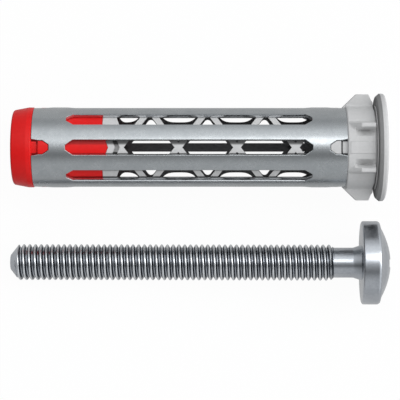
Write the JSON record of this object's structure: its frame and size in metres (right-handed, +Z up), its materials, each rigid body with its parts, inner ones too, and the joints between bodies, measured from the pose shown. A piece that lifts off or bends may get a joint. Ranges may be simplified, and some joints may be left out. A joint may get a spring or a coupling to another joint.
{
  "type": "hollow wall anchor with screw",
  "caption": "Metal hollow wall anchor with a slotted sleeve over a plastic lattice tube, finned collar and flange, red cone tip, and its loose domed machine screw.",
  "frame": {"origin": "on the table, under the middle of the box round the anchor and its screw", "axes": "+X from the anchor's tip to its flange, +Y from the screw to the anchor, +Z up from the table they lie on"},
  "size_m": [0.0528, 0.0292, 0.0148],
  "materials": {
    "sleeve_steel": "zinc plated sheet steel, satin",
    "red_plastic": "moulded, semi-gloss",
    "bush_steel": "turned",
    "grey_plastic": "moulded, satin",
    "screw_steel": "bright zinc plated"
  },
  "bodies": {
    "root": {"sleeve": "sleeve_steel", "tip": "red_plastic", "threaded_bush": "bush_steel", "plastic_body": "grey_plastic", "screw": "screw_steel"}
  },
  "joints": []
}
